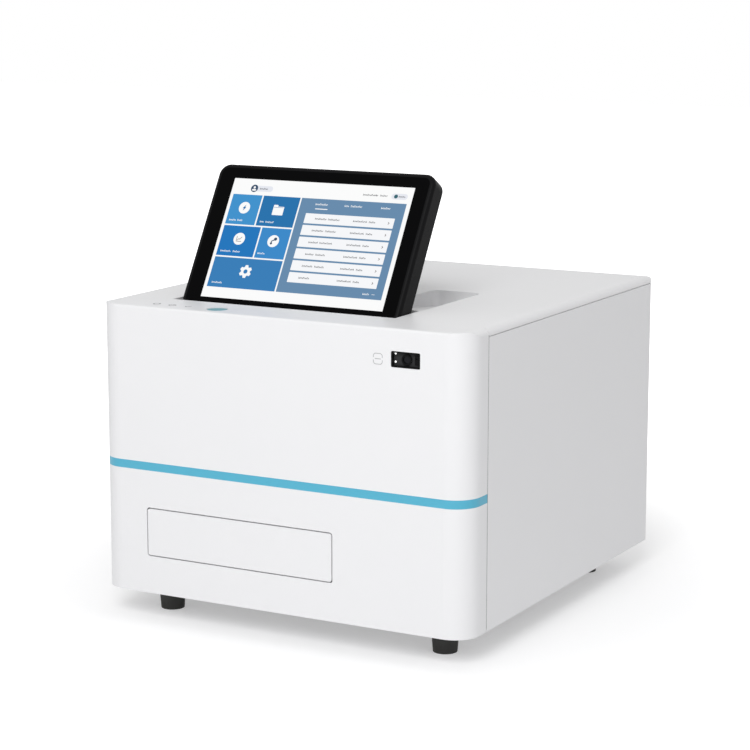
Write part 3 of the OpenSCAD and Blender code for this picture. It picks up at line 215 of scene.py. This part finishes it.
LOOKS = {
    white_moulded: ["front_panel", "top_cover", "drawer_front"],
    white_painted: ["left_side_panel", "right_side_panel"],
    grey_painted: ["rear_panel", "base_plate"],
    cyan_moulded: ["accent_stripe"],
    button_cyan: ["power_button"],
    black_moulded: ["screen_back", "screen_bezel"],
    scanner_black: ["scanner_housing"],
    black_plastic: ["power_inlet", "switch_body", "rocker", "fan_frame", "fan_rotor",
                    "lens_row", "plate_clip", "belt_clamp"],
    rubber: ["rubber_feet"],
    belt_rubber: ["timing_belt"],
    screen_glass: ["touch_glass"],
    steel: ["foot_screws", "case_screws", "hinge_brackets", "hinge_leaves", "hinge_pins",
            "fan_guard", "clip_pin", "filter_motor"],
    port_steel: ["data_ports"],
    ground_steel: ["drawer_rails", "head_rails", "lead_screw", "drawer_bearings",
                   "head_bearings"],
    zinc: ["power_supply"],
    alloy: ["left_frame", "right_frame", "drawer_rail_supports", "head_rail_supports",
            "idler_bracket", "plate_carrier", "bearing_blocks", "head_beam", "drive_pulley",
            "idler_pulley"],
    dark_alloy: ["lamp_housing", "filter_wheel"],
    brass: ["head_nut"],
    circuit: ["detector_board", "main_board", "button_board", "screen_board"],
    motor_black: ["drawer_motor", "head_motor"],
    filter_glass: ["filter_set"],
    lens_glass: ["scanner_optics"],
    panel_back: ["display_panel"],
}
for look, names in LOOKS.items():
    for name in names:
        nodes[name].data.materials.clear()
        nodes[name].data.materials.append(look)


def recess(look, edge_y, inward, tone):
    """Gives a look another colour past edge_y, where inward is 1 for +Y and -1 for -Y."""
    n, l = look.node_tree.nodes, look.node_tree.links
    base = n["Principled BSDF"].inputs["Base Color"]
    coord = n.new("ShaderNodeTexCoord")
    parts = n.new("ShaderNodeSeparateXYZ")
    l.new(coord.outputs["Object"], parts.inputs[0])
    step = ranged(n, l, parts.outputs["Y"], 0.0, 1.0,
                  edge_y - inward * EDGE_SOFT, edge_y + inward * EDGE_SOFT)
    outside = base.links[0].from_socket
    l.new(mixed(n, l, step.outputs["Result"], outside, tone), base)


# The scanner's floor is a lighter grey than its rim and lens barrel; deeper inside the ports the
# steel is painted nearly black, as painted shade
SCAN_STEP, PORT_STEP = 0.0025, 0.0016
SCAN_FLOOR_TONE, PORT_PAINTED_SHADE = (0.036, 0.036, 0.037, 1), (0.010, 0.010, 0.011, 1)
scan_rim_y = min(v.co.y for v in nodes["scanner_housing"].data.vertices)
port_rim_y = max(v.co.y for v in nodes["data_ports"].data.vertices)
recess(scanner_black, scan_rim_y + SCAN_STEP, 1, SCAN_FLOOR_TONE)
# Painted shade: past PORT_STEP inside the ports, their steel turns nearly black
recess(port_steel, port_rim_y - PORT_STEP, -1, PORT_PAINTED_SHADE)


# Flat marks: outlines in a plane, turned into thin meshes
def add_mesh(name, faces, place, body, look):
    """One mesh of flat outlines, lists of (x, y) points; place turns (x, y) into metres."""
    bm = bmesh.new()
    for outline in faces:
        bm.faces.new([bm.verts.new(place(x, y)) for x, y in outline])
    mesh = bpy.data.meshes.new(name)
    bm.to_mesh(mesh)
    bm.free()
    mesh.materials.append(look)
    obj = bpy.data.objects.new(name, mesh)
    scene.collection.objects.link(obj)
    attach(obj, body)


def rect(x0, y0, x1, y1, r=0.0, steps=5):
    """A rectangle's outline, with round corners where r is given."""
    x0, x1, y0, y1 = min(x0, x1), max(x0, x1), min(y0, y1), max(y0, y1)
    if not r:
        return [(x0, y0), (x1, y0), (x1, y1), (x0, y1)]
    r = min(r, (x1 - x0) / 2, (y1 - y0) / 2)
    points = []
    for cx, cy, a0 in ((x1 - r, y0 + r, -90), (x1 - r, y1 - r, 0),
                       (x0 + r, y1 - r, 90), (x0 + r, y0 + r, 180)):
        for i in range(steps + 1):
            a = math.radians(a0 + 90 * i / steps)
            points.append((cx + r * math.cos(a), cy + r * math.sin(a)))
    return points


def disc(x, y, r, steps=28):
    turns = [2 * math.pi * i / steps for i in range(steps)]
    return [(x + r * math.cos(a), y + r * math.sin(a)) for a in turns]


def arc(x, y, r, width, a0, a1, steps=12):
    """A curved stroke, as a list of four-cornered faces."""
    faces = []
    for i in range(steps):
        p, q = (math.radians(a0 + (a1 - a0) * k / steps) for k in (i, i + 1))
        corners = ((p, r - width / 2), (p, r + width / 2), (q, r + width / 2), (q, r - width / 2))
        faces.append([(x + d * math.cos(a), y + d * math.sin(a)) for a, d in corners])
    return faces


def stroke(x0, y0, x1, y1, width):
    """A straight stroke's outline."""
    d = Vector((x1 - x0, y1 - y0))
    side = Vector((-d.y, d.x)).normalized() * width / 2
    return [(x0 + side.x, y0 + side.y), (x0 - side.x, y0 - side.y),
            (x1 - side.x, y1 - side.y), (x1 + side.x, y1 + side.y)]


def line(x, y, points, width):
    """Straight strokes from point to point, with the points counted from (x, y)."""
    return [stroke(x + a[0], y + a[1], x + b[0], y + b[1], width)
            for a, b in zip(points, points[1:])]


# The display's picture: a page that starts a little inside the panel's left edge
PAGE_IN = 0.0022
PIC_W, PIC_H = (VIEW_W - PAGE_IN) * 1000, VIEW_H * 1000
# How far the page lies above the glass, and each level above the one below
PAGE_LIFT, LEVEL_LIFT = 0.00004, 0.00003
screen_turn = Matrix.Translation((SCREEN_X, HINGE_Y, TOP_Z)) @ Matrix.Rotation(-SCREEN_TILT, 4, "X")


def on_screen(level):
    """Turns millimetres from the page's top left corner, right and down the screen, into metres."""
    face = -SCREEN_FACE - (PAGE_LIFT + LEVEL_LIFT * level)
    left, top = -VIEW_W / 2 + PAGE_IN, VIEW_MID + VIEW_H / 2
    return lambda x, y: screen_turn @ Vector((left + x / 1000, face, top - y / 1000))


def picture(name, faces, level, look):
    add_mesh("picture_" + name, faces, on_screen(level), "screen", look)


def at(u, v):
    """Turns shares of the page's width and height into millimetres."""
    return u * PIC_W, v * PIC_H


def cell(u0, v0, u1, v1, r=0.0):
    return rect(*at(u0, v0), *at(u1, v1), r)


# Shares of a word's height: the marks' spacing, the upright stroke's width, the level one's end
PEN_STEP, PEN_STEM, PEN_END = 0.62, 0.24, 0.52
# Shares again: a short mark's height, where a middle stroke lies, and a level stroke's thickness
SHORT_H, MIDDLE_H, BAR_H = 0.72, 0.42, 0.23


def words(u, v, lengths, size=1.6, gap=0.010):
    """Generic marks in the rhythm of words: short upright and level strokes, no letters."""
    faces = []
    for k, length in enumerate(lengths):
        for i in range(max(1, round(length * PIC_W / (size * PEN_STEP)))):
            x, foot = u * PIC_W + size * PEN_STEP * i, v * PIC_H + size / 2
            tall = size * (1.0 if i == 0 or (i * 5 + k) % 4 == 0 else SHORT_H)
            faces.append(rect(x, foot - tall, x + size * PEN_STEM, foot))
            bar = foot - (tall if (i + k) % 3 else size * MIDDLE_H)
            faces.append(rect(x + size * PEN_STEM, bar, x + size * PEN_END, bar + size * BAR_H))
        u += length + gap
    return faces


GLOW = 0.98
page = lit("page_white", (0.98, 0.985, 0.98), GLOW)
pale_blue = lit("tile_pale", (0.048, 0.286, 0.610), GLOW)
mid_blue = lit("tile_mid", (0.016, 0.165, 0.415), GLOW)
left_blue = lit("tile_left", (0.012, 0.178, 0.505), GLOW)
right_blue = lit("tile_right", (0.040, 0.250, 0.585), GLOW)
wide_blue = lit("tile_wide", (0.036, 0.205, 0.480), GLOW)
panel_blue = lit("panel_blue", (0.135, 0.258, 0.415), GLOW)
row_white = lit("row_white", (0.93, 0.94, 0.96), GLOW)
teal = lit("teal", (0.035, 0.130, 0.165), GLOW)
navy = lit("navy", (0.035, 0.075, 0.140), GLOW)
text_grey = lit("text_grey", (0.055, 0.060, 0.070), GLOW)
chevron_grey = lit("chevron_grey", (0.12, 0.09, 0.08), GLOW)
pill_grey = lit("pill_grey", (0.80, 0.82, 0.88), GLOW)
icon_white = lit("icon_white", (0.97, 0.98, 0.98), GLOW)
curve_grey = lit("curve_grey", (0.20, 0.15, 0.15), GLOW)

# The page and its tiles, by shares of the page's width and height
COL_1, COL_2, COL_3, SPLIT, PANEL_END = 0.017, 0.192, 0.234, 0.407, 0.978
ROW_1, ROW_2, ROW_3, BOTTOM = 0.134, 0.399, 0.664, 0.914
GAP_U, GAP_V = 0.008, 0.012
picture("page", [cell(0, 0, 1, 1, 0.4)], 0, page)
TILES = (
    ("tile_read", COL_1, ROW_1, COL_2 - GAP_U, ROW_2 - GAP_V, pale_blue),
    ("tile_results", COL_2, ROW_1, SPLIT - GAP_U, ROW_2 - GAP_V, mid_blue),
    ("tile_curve", COL_1, ROW_2, COL_3 - GAP_U, ROW_3 - GAP_V, left_blue),
    ("tile_tools", COL_3, ROW_2, SPLIT - GAP_U, ROW_3 - GAP_V, right_blue),
    ("tile_settings", COL_1, ROW_3, SPLIT - GAP_U, BOTTOM, wide_blue),
    ("panel", SPLIT, ROW_1, PANEL_END, BOTTOM, panel_blue),
)
for name, u0, v0, u1, v1, blue in TILES:
    picture(name, [cell(u0, v0, u1, v1)], 1, blue)

# The panel's rows, each with two texts and a chevron, and the small texts of the header
HEAD_V = 0.0785
ROW_V, ROW_PITCH, ROW_H = 0.258, 0.0975, 0.083
ROW_FROM, ROW_TO, ROW_R = 0.452, 0.937, 0.3
FIRST_U, SECOND_U, CHEVRON_U = 0.510, 0.719, 0.910
CHEVRON_W, CHEVRON_H, CHEVRON_LINE = 0.55, 0.95, 0.5
FIRST_WORDS = [(0.062, 0.062), (0.064, 0.060), (0.050, 0.068),
               (0.046, 0.053), (0.058, 0.054), (0.060,)]
SECOND_WORDS = (0.076, 0.036)
HEAD_WORDS = [(0.734, (0.082, 0.040), 1.6), (0.158, (0.046,), 1.6), (0.926, (0.034,), 1.4)]
rows = [ROW_V + ROW_PITCH * i for i in range(6)]
picture("rows", [cell(ROW_FROM, v, ROW_TO, v + ROW_H, ROW_R) for v in rows], 2, row_white)
row_text, chevrons = [], []
for v, lengths in zip(rows, FIRST_WORDS):
    row_text += words(FIRST_U, v + ROW_H / 2, lengths)
    row_text += words(SECOND_U, v + ROW_H / 2, SECOND_WORDS)
    x, y = at(CHEVRON_U, v + ROW_H / 2)
    for tip in (-CHEVRON_H, CHEVRON_H):
        chevrons.append(stroke(x - CHEVRON_W, y + tip, x + CHEVRON_W, y, CHEVRON_LINE))
for u, lengths, size in HEAD_WORDS:
    row_text += words(u, HEAD_V, lengths, size)
picture("row_text", row_text, 3, text_grey)
picture("chevrons", chevrons, 3, chevron_grey)

# The header's two pills, with a round badge on each
PILLS, PILL_R = [(0.112, 0.232), (0.886, 0.973)], 2.6
PERSON_U, PERSON_R, ROUND_U, ROUND_R = 0.1267, 3.4, 0.9105, 1.75
px, head_y = at(PERSON_U, HEAD_V)
pills = [rect(u0 * PIC_W, head_y - PILL_R, u1 * PIC_W, head_y + PILL_R, PILL_R)
         for u0, u1 in PILLS]
picture("pills", pills, 1, pill_grey)
picture("badge_person", [disc(px, head_y, PERSON_R)], 2, navy)
picture("badge_round", [disc(*at(ROUND_U, HEAD_V), ROUND_R)], 2, teal)

# White texts: the panel's headings, then the tiles' and the panel's labels
TAB_V, TAB_SIZE = 0.180, 1.7
TABS = [(0.491, (0.066,)), (0.651, (0.024, 0.060)), (0.8495, (0.050,))]
LABELS = [(0.034, 0.352, (0.038, 0.032)), (0.210, 0.352, (0.022, 0.044)),
          (0.037, 0.613, (0.060, 0.038)), (0.248, 0.613, (0.042,)),
          (0.039, 0.876, (0.056,)), (0.873, 0.876, (0.034,))]
white = []
for u, lengths in TABS:
    white += words(u, TAB_V, lengths, TAB_SIZE)
for u, v, lengths in LABELS:
    white += words(u, v, lengths)
# The line under the first heading, and the dash after the last label
white.append(cell(0.495, 0.215, 0.563, 0.222))
white.append(stroke(*at(0.921, 0.876), *at(0.937, 0.876), 0.35))
# A person's head and shoulders on the header's badge
white.append(disc(px, head_y - 0.9, 1.05, 20))
white.append(rect(px - 1.9, head_y + 0.6, px + 1.9, head_y + 2.2, 1.3))
# The discs behind three of the icons
bx, by = at(0.1017, 0.246)
cx, cy = at(0.1230, 0.5065)
kx, ky = at(0.3155, 0.5065)
white += [disc(bx, by, 5.3, 36), disc(cx, cy, 5.4, 36), disc(kx, ky, 5.4, 36)]
# A folder
fx, fy = at(0.294, 0.2485)
white.append(rect(fx - 5.1, fy - 3.1, fx + 5.1, fy + 4.6, 0.6))
white.append(rect(fx - 5.1, fy - 4.6, fx - 0.9, fy - 2.6, 0.5))
# A gear: a ring and six teeth
gx, gy = at(0.210, 0.771)
TOOTH = ((3.9, -1.75), (5.7, -1.15), (5.7, 1.15), (3.9, 1.75))
white += arc(gx, gy, 3.05, 2.3, 0, 360, 36)
for i in range(6):
    a = math.radians(60 * i + 30)
    c, s = math.cos(a), math.sin(a)
    white.append([(gx + r * c - w * s, gy + r * s + w * c) for r, w in TOOTH])
picture("white_marks", white, 4, icon_white)

# Drawn on the white icons: a bolt, two joined points, a curve between its axes, the folder's fold
BOLT = (((1.3, -3.1), (-1.7, 0.6), (0.0, 0.6)),
        ((-1.0, 3.1), (1.7, -0.7), (0.1, -0.7)),
        ((0.5, -1.0), (-0.6, 1.2), (0.0, 0.6), (0.8, -0.7)))
AXES = ((-2.4, -2.2), (-2.4, 2.3), (2.5, 2.3))
CURVE = ((-1.6, 1.3), (-0.4, -0.2), (0.6, 0.5), (2.3, -2.0))
picture("bolt", [[(bx + x, by + y) for x, y in outline] for outline in BOLT], 5, mid_blue)
joined = [disc(kx + 1.7, ky - 1.9, 1.45, 20), disc(kx - 1.5, ky + 2.1, 1.0, 20)]
joined += line(kx, ky, ((1.6, -1.6), (-1.7, 0.2)), 1.0)
joined += line(kx, ky, ((-1.7, 0.2), (-1.4, 2.2)), 0.9)
picture("tool", joined, 5, navy)
picture("curve", line(cx, cy, AXES, 0.5) + line(cx, cy, CURVE, 0.5), 5, curve_grey)
picture("fold", line(fx, fy, ((-4.6, -2.3), (4.6, -2.3)), 0.35), 5, mid_blue)

# Marks on the casing: how far the print stands out, and how deep the lamps and the dark seam strips
# (painted shade) lie
PRINT_LIFT = 0.00005
LAMP_DEEP = 0.00296
SEAM_SHADE_DEEP = 0.0003


def on_front(lift):
    """Turns millimetres across and up the front into metres, lift in front of its face."""
    return lambda x, z: Vector((x / 1000, FRONT_Y - lift, z / 1000))


def on_top(x, y):
    return Vector((x / 1000, y / 1000, TOP_Z + PRINT_LIFT))


def in_seam(side):
    """Turns metres along and up a side into its seam, where side is -1 or 1."""
    return lambda y, z: Vector((side * (SIDE_X - SEAM_SHADE_DEEP), y, z))


# The sign left of the scanner: a frame, open halfway up its sides, with a bar in the middle
scan_x, scan_z = SCAN_X * 1000, SCAN_Z * 1000
ix, iz = scan_x - 23.9, scan_z - 0.8
MARK_W, MARK_H, MARK_R, MARK_LINE = 7.7, 8.3, 2.0, 0.55
HALF_OPEN, HALF_BAR, BAR_LINE = 0.9, 2.6, 0.6
mark = []
for sx, sz, a0 in ((-1, -1, 180), (-1, 1, 90), (1, -1, 270), (1, 1, 0)):
    side_x, edge_z = ix + sx * MARK_W / 2, iz + sz * MARK_H / 2
    bend_x, bend_z = side_x - sx * MARK_R, edge_z - sz * MARK_R
    mark += arc(bend_x, bend_z, MARK_R, MARK_LINE, a0, a0 + 90, 8)
    mark.append(stroke(side_x, iz + sz * HALF_OPEN, side_x, bend_z, MARK_LINE))
    mark.append(stroke(ix, edge_z, bend_x, edge_z, MARK_LINE))
mark.append(stroke(ix - HALF_BAR, iz, ix + HALF_BAR, iz, BAR_LINE))
add_mesh("scan_mark", mark, on_front(PRINT_LIFT), "body", ink)

# Three faint signs on the top, left of the button: a ring, an open arc with a bar, and a tick
SIGN_Y = BUTTON_Y * 1000 - 0.2
SIGN_R, SIGN_LINE = 2.8, 1.1
TICK = ((-2.4, 0.2), (-0.8, -1.6), (2.4, 2.0))
ring_x, open_x, tick_x = (BUTTON_X * 1000 + dx for dx in (-58, -43, -28))
signs = arc(ring_x, SIGN_Y, SIGN_R, SIGN_LINE, 0, 360, 20)
signs += arc(open_x, SIGN_Y, SIGN_R, SIGN_LINE, 120, 420, 16)
signs.append(stroke(open_x, SIGN_Y + 0.6, open_x, SIGN_Y + SIGN_R + 0.8, SIGN_LINE))
signs += line(tick_x, SIGN_Y, TICK, SIGN_LINE)
add_mesh("top_signs", signs, on_top, "body", sign_ink)

# A dark strip in the upright seam of each side, just below the casing's face: painted shade
# standing in for the seam's shadow
SEAM_SHADE_W, SEAM_SHADE_LOW, SEAM_SHADE_HIGH = 0.0012, FOOT_H + 0.002, TOP_Z - 0.005
seam_shade_strip = rect(SEAM_Y - SEAM_SHADE_W / 2, SEAM_SHADE_LOW, SEAM_Y + SEAM_SHADE_W / 2, SEAM_SHADE_HIGH)
add_mesh("painted_seam_shade_left", [seam_shade_strip], in_seam(-1), "body", seam_shade_black)
add_mesh("painted_seam_shade_right", [seam_shade_strip], in_seam(1), "body", seam_shade_black)

# Two small white lamps in the code scanner's recess
LAMP_LEFT, LAMP_UPS, LAMP_R, LAMP_GLOW = 10.0, (4.1, -2.3), 0.85, 1.3
led_white = lit("led_white", (1.0, 1.0, 0.98), LAMP_GLOW)
lamps = [disc(scan_x - LAMP_LEFT, scan_z + up, LAMP_R, 20) for up in LAMP_UPS]
add_mesh("scan_lamps", lamps, on_front(-LAMP_DEEP), "body", led_white)

# Floor
FLOOR_HALF = 6
bm = bmesh.new()
for x, y in rect(-FLOOR_HALF, -FLOOR_HALF, FLOOR_HALF, FLOOR_HALF):
    bm.verts.new((x, y, 0))
bm.faces.new(bm.verts)
mesh = bpy.data.meshes.new("floor")
bm.to_mesh(mesh)
bm.free()
floor = bpy.data.objects.new("floor", mesh)
scene.collection.objects.link(floor)

# The floor shines a little, more with the distance from the object, so that it fades into white;
# its weaker glow near the object is painted shade, deepening the shadow around the base
FLOOR_NEAR_SHADED, FLOOR_FAR, FLOOR_MIRRORED = 0.36, 1.2, 0.40
FLOOR_TONE, FLOOR_BOUNCE = (0.70, 0.70, 0.705, 1), (0.86, 0.86, 0.87, 1)
FADE_FROM, FADE_TO = 0.15, 0.85
m, n, l, b = new_material("floor_white")
n.remove(b)
coord = n.new("ShaderNodeTexCoord")
away = n.new("ShaderNodeVectorMath")
away.operation = "LENGTH"
l.new(coord.outputs["Object"], away.inputs[0])
fade = ranged(n, l, away.outputs["Value"], FLOOR_NEAR_SHADED, FLOOR_FAR, FADE_FROM, FADE_TO)
fade.interpolation_type = "SMOOTHSTEP"
rays = n.new("ShaderNodeLightPath").outputs
diffuse = n.new("ShaderNodeBsdfDiffuse")
l.new(mixed(n, l, rays["Is Camera Ray"], FLOOR_BOUNCE, FLOOR_TONE), diffuse.inputs["Color"])
direct = calculated(n, l, "MULTIPLY", rays["Is Camera Ray"], fade.outputs["Result"])
mirrored = calculated(n, l, "MAXIMUM", rays["Is Glossy Ray"], rays["Is Transmission Ray"])
glow = n.new("ShaderNodeEmission")
strength = calculated(n, l, "MULTIPLY_ADD", mirrored, FLOOR_MIRRORED, direct)
l.new(strength, glow.inputs["Strength"])
both = n.new("ShaderNodeAddShader")
l.new(diffuse.outputs[0], both.inputs[0])
l.new(glow.outputs[0], both.inputs[1])
l.new(both.outputs[0], n["Material Output"].inputs["Surface"])
mesh.materials.append(m)

# World: even soft light, and plain white to the camera and in gloss and glass
AMBIENT = 0.50
world = bpy.data.worlds.new("world")
scene.world = world
world.use_nodes = True
n, l = world.node_tree.nodes, world.node_tree.links
back = n["Background"]
rays = n.new("ShaderNodeLightPath").outputs
seen = calculated(n, l, "MAXIMUM", rays["Is Camera Ray"], rays["Is Glossy Ray"])
seen = calculated(n, l, "MAXIMUM", seen, rays["Is Transmission Ray"])
strength = ranged(n, l, seen, AMBIENT, 1.0)
l.new(strength.outputs["Result"], back.inputs["Strength"])
back.inputs["Color"].default_value = (1, 1, 1, 1)

# The one lamp, large and soft, far in front of the object and to its right
KEY_AT, KEY_AIM = Vector((0.76, -2.5, 2.18)), Vector((0, 0, 0.14))
KEY_SIZE, KEY_POWER = 1.6, 58.5
key = bpy.data.lights.new("key", "AREA")
key.size = KEY_SIZE
key.energy = KEY_POWER
key_obj = bpy.data.objects.new("key", key)
key_obj.location = KEY_AT
key_obj.rotation_euler = (KEY_AIM - KEY_AT).to_track_quat("-Z", "Y").to_euler()
scene.collection.objects.link(key_obj)
